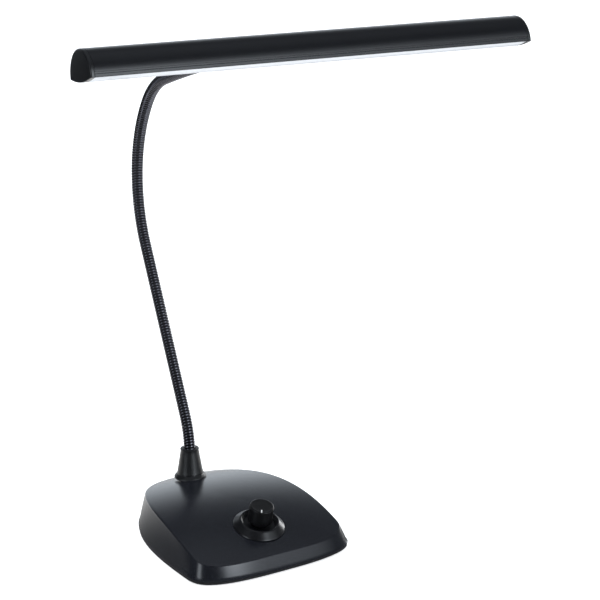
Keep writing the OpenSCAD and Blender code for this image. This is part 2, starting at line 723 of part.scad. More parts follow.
plug_l = 4;
module end_cap(side) color("#18181b") at_head() {
  translate([side*(head_len/2 - cap_t/2), 0, 0]) along_head(cap_t) cap_profile();
  // The plug starts 1 mm inside the cap, so that the two are one piece
  translate([side*(body_len/2 - plug_l/2 + 0.5), 0, 0]) along_head(plug_l + 1) difference() {
    circle(r = inner_r - fit_gap);
    translate([-head_w, ledge_top + 0.4 - 2*head_w]) square(2*head_w);
    circle(r = inner_r - 3);
  }
}
module end_cap_left() end_cap(-1);
module end_cap_right() end_cap(1);

diffuser_wall = 1.4;
flange_out = inner_r - 0.25;
flange_low = -side_h + 1.15;
flange_high = flange_low + 0.9;
function flip_list(p) = [for (i = [len(p)-1:-1:0]) p[i]];
module diffuser() color("#e9ebef") at_head() along_head(body_len - 0.4) polygon(concat(
  [[flange_out, flange_high], [flange_out, flange_low], [bow_half, flange_low]],
  bow(bow_half, bow_h, -side_h),
  [[-bow_half, flange_low], [-flange_out, flange_low], [-flange_out, flange_high],
   [-bow_half + diffuser_wall, flange_high]],
  flip_list(bow(bow_half - diffuser_wall, bow_h - 0.1, -side_h + diffuser_wall)),
  [[bow_half - diffuser_wall, flange_high]]));

carrier_t = 1.2;
carrier_top = ledge_low;
carrier_half = sqrt(inner_r*inner_r - carrier_top*carrier_top) - 0.15;
module led_carrier() color("#b4b7bc") at_head() difference() {
  along_head(body_len - 2*plug_l - 2) translate([-carrier_half, carrier_top - carrier_t])
    square([2*carrier_half, carrier_t]);
  // Hole of the lead, and room for the stem's nut
  translate([0, 2.6, -10]) cylinder(h = 20, d = 7);
  translate([0, bracket_face - stem_nut_h - 3, stem_rise]) rotate([-90, 0, 0])
    cylinder(h = stem_nut_h + 4, d = stem_nut_d + 4*fit_gap, $fn = 6);
}

strip_w = 14;
strip_t = 1.2;
strip_top = carrier_top - carrier_t;
strip_l = body_len - 4*plug_l;
module led_board() color("#f0f0ec") at_head() along_head(strip_l)
  translate([-strip_w/2, strip_top - strip_t]) square([strip_w, strip_t]);

led_w = 3.5;
led_h = 0.8;
module leds() color("#f5e9a8") at_head() for (i = [0:led_count-1])
  translate([(i - (led_count-1)/2)*strip_l/led_count - led_w/2, -led_w/2, strip_top - strip_t - led_h])
    cube([led_w, led_w*0.8, led_h]);

// ---- nodes ---------------------------------------------------------------------------------

base_cover();
base_plate();
foot_pad();
base_screws();
ballast_slab();
ballast_screws();
knob_collar();
dimmer_body();
dimmer_nut();
dimmer_shaft();
knob();
knob_pointer();
driver_board();
driver_parts();
board_posts();
board_screws();
power_jack();
jack_nut();
jack_pin();
neck_boot();
lower_ferrule();
neck_washer();
neck_nut();
neck_section_1();
neck_section_2();
neck_section_3();
neck_section_4();
neck_section_5();
neck_section_6();
neck_section_7();
neck_core();
lead();
upper_ferrule();
head_stem();
stem_nut();
head_bracket();
bracket_screws();
head_housing();
end_cap_left();
end_cap_right();
diffuser();
led_carrier();
led_board();
leds();
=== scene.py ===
# %% [markdown]
# # A piano lamp
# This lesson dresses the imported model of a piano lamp: a weighted base with a dimmer, a gooseneck
# and a long half-round head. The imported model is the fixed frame. Every piece made here stands
# for one of its nodes, in metres, at the same place.

# %% Load the frame
import math
import bmesh
import bpy
from mathutils import Matrix, Vector


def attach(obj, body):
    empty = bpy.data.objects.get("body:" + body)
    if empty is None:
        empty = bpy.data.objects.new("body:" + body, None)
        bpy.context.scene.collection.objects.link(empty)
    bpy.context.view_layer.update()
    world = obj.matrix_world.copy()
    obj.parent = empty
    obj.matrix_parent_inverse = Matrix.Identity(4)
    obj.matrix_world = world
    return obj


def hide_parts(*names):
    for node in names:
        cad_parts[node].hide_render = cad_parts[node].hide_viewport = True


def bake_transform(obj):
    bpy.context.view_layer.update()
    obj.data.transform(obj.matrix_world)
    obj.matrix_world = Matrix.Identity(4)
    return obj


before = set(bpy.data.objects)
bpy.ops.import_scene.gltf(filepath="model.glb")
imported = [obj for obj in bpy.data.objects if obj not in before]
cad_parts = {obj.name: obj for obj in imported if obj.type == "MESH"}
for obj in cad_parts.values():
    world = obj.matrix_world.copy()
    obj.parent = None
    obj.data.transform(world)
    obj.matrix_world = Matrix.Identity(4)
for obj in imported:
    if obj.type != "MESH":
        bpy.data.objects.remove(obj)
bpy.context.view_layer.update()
MM = 0.001

# %% [markdown]
# ## Camera
# The photograph was taken from the front left, a little above the head. Place, direction and focal
# length were worked out from the outlines of the base, the knob and the head. A long lens keeps
# the lamp's edges nearly parallel, so the numbers matter more than they do with a wide one.

# %% Camera
CAMERA_AT = (-0.7039, -1.2058, 0.5946)
YAW = 0.571
PITCH = 0.275
ROLL = -0.007
SENSOR_MM, FOCAL_PIXELS, IMAGE_PIXELS = 36, 1832, 600
forward = Vector((math.sin(YAW)*math.cos(PITCH), math.cos(YAW)*math.cos(PITCH), -math.sin(PITCH)))
level = Vector((math.cos(YAW), -math.sin(YAW), 0))
above = level.cross(forward)
right = level*math.cos(ROLL) + above*math.sin(ROLL)
up = above*math.cos(ROLL) - level*math.sin(ROLL)
lens = bpy.data.cameras.new("photo_camera")
lens.sensor_width = SENSOR_MM
lens.lens = SENSOR_MM*FOCAL_PIXELS/IMAGE_PIXELS
lens.clip_end = 30
camera = bpy.data.objects.new("photo_camera", lens)
bpy.context.collection.objects.link(camera)
turn = Matrix((right, up, -forward)).transposed()
camera.matrix_world = Matrix.Translation(CAMERA_AT) @ turn.to_4x4()
bpy.context.scene.camera = camera
bpy.context.scene.view_settings.view_transform = "Standard"
print("lens", round(lens.lens, 2), "mm")

# %% [markdown]
# ## Helpers for materials
# Colours are written as the eye sees them, in sRGB hex, and turned to linear light once. One small
# function adds a node, sets its values and draws its links, so each material below reads as a
# short list of what the surface is made of.

# %% Material helpers
def linear(colour):
    """Linear RGBA of an sRGB hex colour."""
    parts = [int(colour[i:i + 2], 16)/255 for i in (1, 3, 5)]
    return [p/12.92 if p < 0.04045 else ((p + 0.055)/1.055)**2.4 for p in parts] + [1]


def add(material, kind, inputs, **settings):
    """Adds a node. An input's value is a plain value or the output that is linked to it."""
    tree = material.node_tree
    new = tree.nodes.new(kind)
    for key, value in settings.items():
        setattr(new, key, value)
    for key, value in inputs.items():
        if isinstance(value, bpy.types.NodeSocket):
            tree.links.new(value, new.inputs[key])
        else:
            new.inputs[key].default_value = value
    return new


def surface(name, colour, **values):
    """A new material with one Principled shader, and that shader."""
    material = bpy.data.materials.new(name)
    material.use_nodes = True
    shader = material.node_tree.nodes["Principled BSDF"]
    shader.inputs["Base Color"].default_value = linear(colour)
    for key, value in values.items():
        shader.inputs[key.replace("_", " ")].default_value = value
    return material, shader


def grain(material, shader, size, depth, spread, base, stretch=(1, 1, 1)):
    """A fine random relief of that size and depth in metres, with a little spread in roughness."""
    place = add(material, "ShaderNodeTexCoord", {})
    mapped = add(material, "ShaderNodeMapping", {"Vector": place.outputs["Object"], "Scale": stretch})
    where = mapped.outputs[0]
    noise = add(material, "ShaderNodeTexNoise", {"Vector": where, "Scale": 1/size, "Detail": 3})
    cloud = add(material, "ShaderNodeTexNoise", {"Vector": where, "Scale": 0.06/size, "Detail": 2})
    height = noise.outputs["Fac"]
    bump = add(material, "ShaderNodeBump", {"Height": height, "Distance": depth, "Strength": 1})
    rough = add(material, "ShaderNodeMapRange",
                {"Value": cloud.outputs["Fac"], "To Min": base - spread, "To Max": base + spread})
    material.node_tree.links.new(bump.outputs[0], shader.inputs["Normal"])
    material.node_tree.links.new(rough.outputs[0], shader.inputs["Roughness"])
    return cloud


def tint(material, shader, cloud, dark, light):
    """Lets the colour wander a little between two hex colours, after a noise."""
    blend = add(material, "ShaderNodeMix", {0: cloud.outputs["Fac"], 6: linear(dark), 7: linear(light)},
                data_type="RGBA")
    material.node_tree.links.new(blend.outputs[2], shader.inputs["Base Color"])


# %% [markdown]
# ## Studio floor
# The lamp stands on a wide sheet of white paper, as in a product photograph. The camera sees it as
# plain white, because the paper glows a little for camera rays. Reflections see another room: dark
# paper with a bright sheet behind the lamp and one in front to the right. Black plastic shows little
# but its reflections, so these sheets draw the pale left edge of the base and the fade low on the head.

# %% Studio helpers
BEHIND = (0.541, 0.841)   # from above, the way the camera looks
ACROSS = (0.841, -0.541)  # from above, to the camera's right


def fade(owner, value, low, high, start, end):
    """A smooth change from start to end while the value goes from low to high."""
    inputs = {"Value": value, "From Min": low, "From Max": high, "To Min": start, "To Max": end}
    return add(owner, "ShaderNodeMapRange", inputs, interpolation_type="SMOOTHSTEP").outputs[0]


def calc(owner, kind, a, b):
    """One step of arithmetic."""
    return add(owner, "ShaderNodeMath", {0: a, 1: b}, operation=kind).outputs[0]


def product(owner, *factors):
    """All the factors multiplied, for lights that fade in more than one direction."""
    total = factors[0]
    for factor in factors[1:]:
        total = calc(owner, "MULTIPLY", total, factor)
    return total


def along(owner, split, way):
    """How far a point or direction goes along a way on the ground."""
    return calc(owner, "ADD", calc(owner, "MULTIPLY", split.outputs["X"], way[0]),
                calc(owner, "MULTIPLY", split.outputs["Y"], way[1]))


# %% Floor
bpy.ops.object.select_all(action="DESELECT")
bpy.ops.mesh.primitive_plane_add(size=60, location=(0, 0, 0))
floor = bpy.context.object
floor.name = "studio_floor"
PAPER, DARK_PAPER = "#f2f2f2", "#2a2a2a"
paper, paper_shader = surface("white_paper", PAPER, Roughness=0.9)
rays = add(paper, "ShaderNodeLightPath", {})
where = add(paper, "ShaderNodeTexCoord", {})
split = add(paper, "ShaderNodeSeparateXYZ", {"Vector": where.outputs["Object"]})
rightward = along(paper, split, ACROSS)
behind = along(paper, split, BEHIND)
off_axis = calc(paper, "ABSOLUTE", rightward, 0)
back_sheet = product(paper,
                     fade(paper, off_axis, 0.4, 0.9, 1.0, 0.06),
                     fade(paper, behind, -0.02, 0.22, 0.15, 1.9),
                     fade(paper, behind, 0.5, 0.8, 1.0, 0.1))
front_sheet = product(paper,
                      fade(paper, rightward, 0.35, 0.5, 0.0, 1.0),
                      fade(paper, rightward, 1.3, 1.65, 1.15, 0.06),
                      fade(paper, behind, -0.25, -0.1, 1.0, 0.0))
sheets = calc(paper, "MAXIMUM", back_sheet, front_sheet)
for_camera = calc(paper, "MULTIPLY", rays.outputs["Is Camera Ray"], 0.72)
for_gloss = calc(paper, "MULTIPLY", rays.outputs["Is Glossy Ray"], sheets)
glow = calc(paper, "ADD", for_camera, for_gloss)
dim = add(paper, "ShaderNodeMix",
          {0: rays.outputs["Is Glossy Ray"], 6: linear(PAPER), 7: linear(DARK_PAPER)}, data_type="RGBA")
paper_shader.inputs["Emission Color"].default_value = (1, 1, 1, 1)
paper.node_tree.links.new(dim.outputs[2], paper_shader.inputs["Base Color"])
paper.node_tree.links.new(glow, paper_shader.inputs["Emission Strength"])
floor.data.materials.append(paper)
print("floor", [round(side) for side in floor.dimensions[:2]], "m")

# %% [markdown]
# ## Sky
# The sky is white for the camera and an even, slightly cool light for everything matt. Reflections
# find light in a few places only: low behind the lamp, low in front to the right, a little straight
# above, and two tall lights either side of the camera. The one behind fades up the base's crowned
# top, the one in front lights its skirt, and each tall one draws a column of dots up the gooseneck.

# %% Sky as reflections see it
world = bpy.data.worlds.new("studio")
world.use_nodes = True
bpy.context.scene.world = world
place = add(world, "ShaderNodeTexCoord", {})
split = add(world, "ShaderNodeSeparateXYZ", {"Vector": place.outputs["Generated"]})
height = split.outputs["Z"]
depth = along(world, split, BEHIND)
rightness = along(world, split, ACROSS)
back_light = product(world,
                     fade(world, depth, 0.55, 0.9, 0.0, 1.0),
                     fade(world, height, 0.14, 0.62, 1.6, 0.12))
front_light = product(world,
                      fade(world, depth, -0.3, 0.12, 1.0, 0.06),
                      fade(world, rightness, 0.4, 0.6, 0.0, 1.0),
                      fade(world, height, 0.42, 0.74, 1.15, 0.08))
top_light = fade(world, height, 0.7, 0.95, 0.0, 0.35)
# The tall lights stand 32 to 55 degrees to either side of the camera, the left one dimmer
toward = calc(world, "MAXIMUM", calc(world, "MULTIPLY", depth, -1), 0.05)
beside = calc(world, "DIVIDE", calc(world, "ABSOLUTE", rightness, 0), toward)
tall_lights = product(world,
                      fade(world, beside, 0.62, 0.78, 0.0, 1.0),
                      fade(world, beside, 1.2, 1.45, 7.0, 0.0),
                      fade(world, height, 0.45, 0.65, 1.0, 0.0),
                      fade(world, depth, -0.35, -0.15, 1.0, 0.0),
                      fade(world, rightness, -0.1, 0.1, 0.6, 1.0))
gloss = calc(world, "MAXIMUM", back_light, front_light)
for light in (tall_lights, top_light):
    gloss = calc(world, "MAXIMUM", gloss, light)
gloss = calc(world, "ADD", gloss, 0.05)
print("nodes in the sky", len(world.node_tree.nodes))

# %% Sky as all else sees it
sky = world.node_tree.nodes["Background"]
path = add(world, "ShaderNodeLightPath", {})
MATT_LEVEL, COOL_WHITE, WHITE = 0.9, (0.86, 0.93, 1, 1), (1, 1, 1, 1)
level_of = add(world, "ShaderNodeMix",
               {0: path.outputs["Is Glossy Ray"], 2: MATT_LEVEL, 3: gloss}, data_type="FLOAT")
strength = calc(world, "MAXIMUM", level_of.outputs[0], path.outputs["Is Camera Ray"])
tone = add(world, "ShaderNodeMix",
           {0: path.outputs["Is Camera Ray"], 6: COOL_WHITE, 7: WHITE}, data_type="RGBA")
world.node_tree.links.new(strength, sky.inputs["Strength"])
world.node_tree.links.new(tone.outputs[2], sky.inputs["Color"])
print("sky ready")

# %% [markdown]
# ## Softboxes
# Three soft lamps give the matt surfaces their shape. Two of them are hidden from reflections,
# since a lamp that shows in satin plastic draws a patch that the photograph doesn't have.

# %% Softboxes
def softbox(name, at, aim, size, power):
    """A rectangular area light that looks at a point."""
    light = bpy.data.lights.new(name, "AREA")
    light.shape = "RECTANGLE"
    light.size, light.size_y = size
    light.energy = power
    lamp = bpy.data.objects.new(name, light)
    bpy.context.collection.objects.link(lamp)
    ray = Vector(aim) - Vector(at)
    lamp.matrix_world = Matrix.Translation(at) @ ray.to_track_quat("-Z", "Y").to_matrix().to_4x4()
    return lamp


softbox("key_left", (-1.2, -0.1, 1.7), (0, 0, 0.2), (0.6, 0.9), 9).visible_glossy = False
softbox("rim_right", (1.9, 0.7, 0.6), (0, 0, 0.2), (0.4, 1.0), 9)
softbox("top", (0.1, 0.2, 2.2), (0, 0, 0), (0.5, 0.5), 8).visible_glossy = False
print("lamps", [lamp.name for lamp in bpy.data.lights])

# %% [markdown]
# ## Finishes of the parts that show
# The lamp is black all over, yet its blacks differ: the base cover is a satin ABS moulding with a
# faint blue cast, the head is a satin powder coat, the gooseneck is black-chromed wire, and the
# knob and its collar are mouldings with round forms. Only roughness, relief and a slight
# tint tell them apart, so each gets its own.

# %% Finishes of the outside
# Satin ABS from a spark-eroded mould: a fine even grain that scatters highlights widely
cover_abs, shader = surface("satin_abs_cover", "#16171d", Roughness=0.24, IOR=1.53)
cloud = grain(cover_abs, shader, 0.5*MM, 0.003*MM, 0.02, 0.24)
tint(cover_abs, shader, cloud, "#15161b", "#181a20")

# Smooth gloss-to-satin ABS of the collar
collar_abs, shader = surface("smooth_abs_collar", "#0b0b0e", Roughness=0.26, IOR=1.53)
cloud = grain(collar_abs, shader, 0.4*MM, 0.003*MM, 0.04, 0.3)
tint(collar_abs, shader, cloud, "#0a0a0d", "#0d0d10")

# Matt ABS of the knob: a coarser mould grain and a low index, so it stays black beside the collar
knob_abs, shader = surface("matt_abs_knob", "#0b0b0d", Roughness=0.4, IOR=1.36)
cloud = grain(knob_abs, shader, 0.3*MM, 0.006*MM, 0.05, 0.4)
tint(knob_abs, shader, cloud, "#0a0a0c", "#0e0e10")

# Nylon of the boot: greyer and duller, because nylon scatters light just under its skin
boot_nylon, shader = surface("moulded_nylon_boot", "#0e0f11", Roughness=0.42, IOR=1.53)
cloud = grain(boot_nylon, shader, 0.45*MM, 0.006*MM, 0.05, 0.42)
tint(boot_nylon, shader, cloud, "#0d0e10", "#111214")

# Powder coat: baked resin grains melt to a low orange peel about a millimetre across
powder_coat, shader = surface("satin_powder_coat", "#0b0c10", Roughness=0.3, IOR=1.48)
cloud = grain(powder_coat, shader, 1.1*MM, 0.003*MM, 0.02, 0.3)
tint(powder_coat, shader, cloud, "#0b0c10", "#0e0f14")

# End caps: ABS moulded in a polished tool, so a touch darker than the coat beside them
cap_abs, shader = surface("satin_abs_caps", "#0d0e12", Roughness=0.33, IOR=1.53)
cloud = grain(cap_abs, shader, 0.5*MM, 0.005*MM, 0.03, 0.33)
tint(cap_abs, shader, cloud, "#0c0d10", "#0f1014")

# Black chrome on steel wire: a dark metal, so it mirrors little and only lamps show as bright dots
wire_chrome, shader = surface("black_chromed_wire", "#5a5a60", Roughness=0.16, Metallic=1.0)
cloud = grain(wire_chrome, shader, 0.35*MM, 0.003*MM, 0.04, 0.16)
tint(wire_chrome, shader, cloud, "#525258", "#626268")

# Stem and ferrule: turned brass under black varnish, smooth enough to show a clean streak
ferrule_coat, shader = surface("varnished_brass_turning", "#151517", Roughness=0.3, Metallic=0.3)
cloud = grain(ferrule_coat, shader, 0.5*MM, 0.004*MM, 0.05, 0.3)
tint(ferrule_coat, shader, cloud, "#131315", "#1a1a1c")

# Opal acrylic: white pigment inside clear plastic, so light goes a little way in and comes back
opal, shader = surface("opal_acrylic", "#e4e6ea", Roughness=0.3, IOR=1.49)
shader.inputs["Subsurface Weight"].default_value = 0.25
shader.inputs["Subsurface Radius"].default_value = (1.2, 1.2, 1.2)
shader.inputs["Subsurface Scale"].default_value = 0.002
grain(opal, shader, 0.8*MM, 0.003*MM, 0.04, 0.3)

# White printing ink of the pointer
ink, shader = surface("white_ink", "#d8d8d6", Roughness=0.5)
grain(ink, shader, 0.2*MM, 0.006*MM, 0.05, 0.5)
print("finishes of the outside", len(bpy.data.materials))

# %% [markdown]
# ## Finishes of the parts inside and below
# These carried-over parts are seen from below or through a gap, or not at all, and still get the
# surface that each has on the bench: zinc on the fixings, sawn iron, foam, solder mask and brass.

# %% Metals of the inside
zinc, shader = surface("bright_zinc_plate", "#b9bcc0", Metallic=1, Roughness=0.32)
cloud = grain(zinc, shader, 0.6*MM, 0.01*MM, 0.08, 0.32)
tint(zinc, shader, cloud, "#aeb1b6", "#c6c8ca")
plate_steel, shader = surface("powder_coated_plate", "#1b1b1e", Roughness=0.5)
grain(plate_steel, shader, 0.9*MM, 0.02*MM, 0.06, 0.5)
iron, shader = surface("sawn_ballast_iron", "#5a5a5e", Metallic=1, Roughness=0.6)
cloud = grain(iron, shader, 0.8*MM, 0.06*MM, 0.1, 0.6, stretch=(0.08, 1, 1))
tint(iron, shader, cloud, "#4c4a49", "#66666a")
black_steel, shader = surface("black_oxide_steel", "#19191b", Metallic=0.8, Roughness=0.45)
grain(black_steel, shader, 0.5*MM, 0.01*MM, 0.06, 0.45)
steel_can, shader = surface("pressed_steel_can", "#a9acb1", Metallic=1, Roughness=0.38)
grain(steel_can, shader, 0.5*MM, 0.01*MM, 0.06, 0.38)
coil_steel, shader = surface("oiled_spring_wire", "#4e4e52", Metallic=1, Roughness=0.35)
grain(coil_steel, shader, 0.4*MM, 0.01*MM, 0.06, 0.35)
brass, shader = surface("turned_brass", "#c9a24c", Metallic=1, Roughness=0.3)
grain(brass, shader, 0.5*MM, 0.008*MM, 0.06, 0.3, stretch=(1, 1, 8))
aluminium, shader = surface("mill_finish_aluminium", "#b4b7bb", Metallic=1, Roughness=0.42)
cloud = grain(aluminium, shader, 0.5*MM, 0.012*MM, 0.07, 0.42, stretch=(0.04, 1, 1))
tint(aluminium, shader, cloud, "#a8abb0", "#bfc2c5")
print("finishes so far", len(bpy.data.materials))

# %% Boards and plastics of the inside
foam, shader = surface("closed_cell_foam", "#4b4c50", Roughness=0.92, IOR=1.4)
cloud = grain(foam, shader, 0.6*MM, 0.12*MM, 0.04, 0.92)
tint(foam, shader, cloud, "#434448", "#54555a")
board, shader = surface("green_solder_mask", "#14502f", Roughness=0.3)
cloud = grain(board, shader, 1.4*MM, 0.01*MM, 0.05, 0.3)
tint(board, shader, cloud, "#114a2b", "#1a5a37")
board_plastic, shader = surface("moulded_epoxy_parts", "#232327", Roughness=0.5)
grain(board_plastic, shader, 0.3*MM, 0.01*MM, 0.05, 0.5)
jack_nylon, shader = surface("moulded_nylon_jack", "#161618", Roughness=0.42)
grain(jack_nylon, shader, 0.4*MM, 0.008*MM, 0.05, 0.42)
pvc, shader = surface("soft_pvc_sheath", "#101012", Roughness=0.48)
grain(pvc, shader, 0.5*MM, 0.01*MM, 0.06, 0.48)
strip_white, shader = surface("white_solder_mask", "#dfe0dc", Roughness=0.35)
grain(strip_white, shader, 1.2*MM, 0.008*MM, 0.05, 0.35)
phosphor, shader = surface("led_phosphor", "#e2c44e", Roughness=0.25)
grain(phosphor, shader, 0.3*MM, 0.008*MM, 0.04, 0.25)
print("finishes in all", len(bpy.data.materials))

# %% [markdown]
# ## Helpers for modelling
# Most pieces of the lamp grow the way a modeller grows them by hand: a circle is laid down, its edge
# is extruded, and the new edge is moved to the next place. Turned pieces scale that edge, and the
# base cover moves it to the next ring of its outline.

# %% Modelling helpers
def rest_mode():
    """Object mode with nothing selected, because an operator acts on all that is selected."""
    if bpy.context.mode != "OBJECT":
        bpy.ops.object.mode_set(mode="OBJECT")
    bpy.ops.object.select_all(action="DESELECT")


def only(piece):
    """Selects one piece and makes it active."""
    rest_mode()
    piece.select_set(True)
    bpy.context.view_layer.objects.active = piece
    return piece


def apply(piece, kind, **settings):
    """Adds a modifier and applies it."""
    only(piece)
    modifier = piece.modifiers.new(kind.title(), kind)
    for key, value in settings.items():
        setattr(modifier, key, value)
    bpy.ops.object.modifier_apply(modifier=modifier.name)
    return piece


def grow(name, rings, close_start=True, close_end=True):
    """Extrudes a circle's edge from ring to ring. Each ring is a list of points, all as long."""
    rest_mode()
    bpy.ops.mesh.primitive_circle_add(vertices=len(rings[0]), radius=0.01, fill_type="NOTHING")
    piece = bpy.context.object
    piece.name = piece.data.name = name
    bpy.ops.object.mode_set(mode="EDIT")
    mesh = bmesh.from_edit_mesh(piece.data)
    spot = mesh.verts.layers.int.new("spot")
    mesh.verts.ensure_lookup_table()
    for index, vertex in enumerate(mesh.verts):
        vertex[spot] = index
        vertex.co = rings[0][index]
    bmesh.update_edit_mesh(piece.data)
    if close_start:
        bpy.ops.mesh.edge_face_add()
        bpy.ops.mesh.select_all(action="SELECT")
        bpy.ops.mesh.region_to_loop()
        bpy.context.tool_settings.mesh_select_mode = (False, True, False)
    for ring in rings[1:]:
        bpy.ops.mesh.extrude_edges_move()
        mesh = bmesh.from_edit_mesh(piece.data)
        spot = mesh.verts.layers.int["spot"]
        for vertex in mesh.verts:
            if vertex.select:
                vertex.co = ring[vertex[spot]]
        bmesh.update_edit_mesh(piece.data)
    if close_end:
        bpy.ops.mesh.edge_face_add()
    bpy.ops.mesh.select_all(action="SELECT")
    bpy.ops.mesh.normals_make_consistent(inside=False)
    rest_mode()
    bpy.context.tool_settings.mesh_select_mode = (True, False, False)
    return piece


def circle(radius, z, count):
    """A ring of points around the Z axis."""
    return [Vector((radius*math.cos(2*math.pi*i/count), radius*math.sin(2*math.pi*i/count), z))
            for i in range(count)]


def turned(name, profile, count=96):
    """A turned solid from a closed profile of (radius, height) pairs in millimetres."""
    rings = [circle(r*MM, z*MM, count) for r, z in profile]
    piece = grow(name, rings + [rings[0]], close_start=False, close_end=False)
    only(piece)
    bpy.ops.object.mode_set(mode="EDIT")
    bpy.ops.mesh.select_all(action="SELECT")
    bpy.ops.mesh.remove_doubles(threshold=0.000002)
    bpy.ops.mesh.normals_make_consistent(inside=False)
    rest_mode()
    return piece


def put(piece, matrix):
    """Moves a finished piece to its place and applies it, so the object stays at the origin."""
    piece.matrix_world = matrix
    only(piece)
    bpy.ops.object.transform_apply(location=True, rotation=True, scale=True)
    return piece


def smooth(piece, degrees=35):
    """Smooth shading with sharp edges over that angle."""
    only(piece)
    bpy.ops.object.shade_smooth_by_angle(angle=math.radians(degrees))
    return piece


def dress(piece, material, body, nodes):
    """Gives a piece its finish and its body, and lets it stand for its nodes."""
    piece.data.materials.clear()
    piece.data.materials.append(material)
    if body:
        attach(piece, body)
    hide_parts(*nodes)
    triangles = sum(len(p.vertices) - 2 for p in piece.data.polygons)
    print(piece.name, "for", ", ".join(nodes), triangles, "triangles")
    return piece

# %% [markdown]
# ## Base cover
# The cover is one ABS moulding: a rounded outline, square-shouldered in front and longer at the back,
# a skirt that leans in, a crisp edge, and a top that rises to the back over a low crown. It grows
# from a circle whose edge is extruded ring by ring, since no primitive has this outline. The rings
# crowd together at the crisp edge and at the rolled lower edge, where the light draws thin lines.

# %% Outline and crown of the base
HALF_W, FRONT_Y, WIDEST_Y, BACK_Y = 73, -86, -56.6, 86
FRONT_SQUARENESS, BACK_SQUARENESS = 2.85, 2.6  # 2 would be an ellipse
CROWN_Z, CROWN_RISE, CROWN_FALL_Y, CROWN_FALL_X = 23.2, 0.325, 0.00216, 0.00076
SKIRT_INSET, EDGE_INSET = 6, 6.8               # below and above the crisp edge
PLATE_TOP, WALL_THICKNESS = 3, 2.6
KNOB_Y, KNOB_Z, KNOB_TILT = -47.1, 26.0926, math.radians(15.852)
BOOT_Y, SEAT_Z = 63.2, 32.0046


def crown(x, y):
    """Height of the base's top surface over the floor, in millimetres."""
    v = y - WIDEST_Y
    return CROWN_Z + CROWN_RISE*v - CROWN_FALL_Y*v*v - CROWN_FALL_X*x*x


def outline_at(t, inset):
    """Point of the base's outline at the angle t, drawn in by inset."""
    front = math.sin(t) < 0
    power = 2/(FRONT_SQUARENESS if front else BACK_SQUARENESS)
    depth = (WIDEST_Y - FRONT_Y if front else BACK_Y - WIDEST_Y) - inset
    c, s = math.cos(t), math.sin(t)
    across = math.copysign((HALF_W - inset)*abs(c)**power, c)
    return across, WIDEST_Y + math.copysign(depth*abs(s)**power, s)


def even_angles(count):
    """Angles that place points evenly along the outline, so no facet is long."""
    fine = [2*math.pi*i/20000 for i in range(20001)]
    places = [outline_at(t, 0) for t in fine]
    travel = [0]
    for a, b in zip(places, places[1:]):
        travel.append(travel[-1] + math.dist(a, b))
    angles, k = [], 0
    for i in range(count):
        while travel[k] < travel[-1]*i/count:
            k += 1
        angles.append(fine[k])
    return angles


OUTLINE = even_angles(168)


def base_ring(inset, height, share=1):
    """One ring: drawn in by inset, then shrunk to a share, at that share of the way up the skirt."""
    ring = []
    for t in OUTLINE:
        x, y = (share*v for v in outline_at(t, inset))
        ring.append(Vector((x, y, PLATE_TOP + (crown(x, y) - PLATE_TOP)*height))*MM)
    return ring


skirt = [(0.5, 0.0), (0.22, 0.02), (0.05, 0.055), (0, 0.1)]
skirt += [(SKIRT_INSET*(0.8*h + 0.2*h*h), h) for h in (0.22, 0.34, 0.46, 0.58, 0.7, 0.8, 0.88, 0.93)]
skirt += [(5.72, 0.965), (6.02, 0.986), (6.4, 0.997), (EDGE_INSET, 1)]
print("skirt rings", len(skirt), "points in a ring", len(OUTLINE))

# %% Cover moulding
rings = [base_ring(inset, height) for inset, height in skirt]
shares = (0.985, 0.96, 0.92, 0.87, 0.81, 0.74, 0.66, 0.57, 0.47, 0.36, 0.25, 0.14)
rings += [base_ring(EDGE_INSET, 1, share) for share in shares]
cover = grow("cover_moulding", rings, close_start=False, close_end=False)
only(cover)
bpy.ops.object.mode_set(mode="EDIT")
bpy.ops.mesh.select_all(action="DESELECT")
mesh = bmesh.from_edit_mesh(cover.data)
for edge in mesh.edges:
    edge.select = edge.is_boundary and edge.verts[0].co.z > 0.02
bpy.ops.mesh.edge_face_add()
bpy.ops.mesh.poke()
bmesh.from_edit_mesh(cover.data).normal_update()
for vertex in bmesh.from_edit_mesh(cover.data).verts:
    if len(vertex.link_edges) > 20:
        vertex.co.z = crown(vertex.co.x/MM, vertex.co.y/MM)*MM
bmesh.update_edit_mesh(cover.data)
bpy.ops.mesh.select_all(action="SELECT")
bpy.ops.mesh.normals_make_consistent(inside=False)
rest_mode()
apply(cover, "SOLIDIFY", thickness=WALL_THICKNESS*MM, offset=-1, use_even_offset=False)
print("cover", [round(side/MM, 1) for side in cover.dimensions], "mm")

# %% [markdown]
# ## Hole for the power jack
# The jack screws into a round hole with a flat seat around it, so that its nut lies under the
# surface. A hole could be built into the rings, but it would break their even spacing. A cylinder
# taken away with the Boolean modifier leaves them as they are, as a drill would.

# %% Jack hole
def cut(piece, name, radius, depth, matrix):
    """Cuts a round hole with a cylinder that stands on the matrix's origin."""
    rest_mode()
    bpy.ops.mesh.primitive_cylinder_add(vertices=72, radius=radius*MM, depth=depth*MM,
                                        location=(0, 0, depth*MM/2))
    tool = bpy.context.object
    bpy.ops.object.transform_apply(location=True)
    put(tool, matrix)
    apply(piece, "BOOLEAN", operation="DIFFERENCE", object=tool, solver="EXACT")
    bpy.data.objects.remove(tool)
    print("cut", name, "in", piece.name)


def at_mm(x, y, z, axis="X", angle=0.0):
    """A place in millimetres, turned about one axis."""
    return Matrix.Translation(Vector((x, y, z))*MM) @ Matrix.Rotation(angle, 4, axis)


JACK_Z, TO_BACK = 13, -math.pi/2
cut(cover, "jack seat", 5.65, 12, at_mm(0, 81, JACK_Z, "X", TO_BACK))
cut(cover, "jack hole", 4.15, 20, at_mm(0, 66, JACK_Z, "X", TO_BACK))
smooth(cover, 40)
dress(cover, cover_abs, "base", ["base_cover"])

